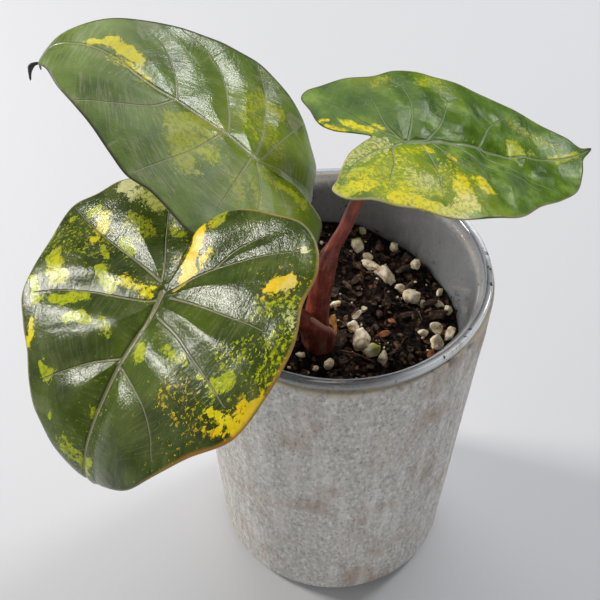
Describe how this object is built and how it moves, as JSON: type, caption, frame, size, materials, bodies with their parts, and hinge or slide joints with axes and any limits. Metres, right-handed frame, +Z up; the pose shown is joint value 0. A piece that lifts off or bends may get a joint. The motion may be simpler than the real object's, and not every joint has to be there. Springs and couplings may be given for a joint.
{
  "type": "potted variegated elephant-ear plant",
  "caption": "Young variegated elephant-ear house plant with broad glossy leaves, in a clear grow pot inside a tall tapered cover pot",
  "frame": {"origin": "centre of the cover pot's flat underside", "axes": "+Z up from the surface that the pot stands on; +X to the right and +Y away as seen in the picture"},
  "size_m": [0.2213, 0.1956, 0.27],
  "materials": {
    "cover_pot": "matt, mottled grey, slightly rough",
    "clear_plastic": "clear, glossy",
    "soil": "loose dark potting mix of bark and peat with pale pumice",
    "corm": "matt brown",
    "stalk": "smooth, wine red, half gloss",
    "leaf": "glossy dark green with yellow patches"
  },
  "bodies": {
    "root": {"cover_pot": "cover_pot", "grow_pot": "clear_plastic", "soil": "soil", "corm": "corm", "petiole_front": "stalk", "petiole_right": "stalk", "petiole_upper": "stalk", "leaf_front": "leaf", "leaf_upper": "leaf", "leaf_right": "leaf"}
  },
  "joints": []
}
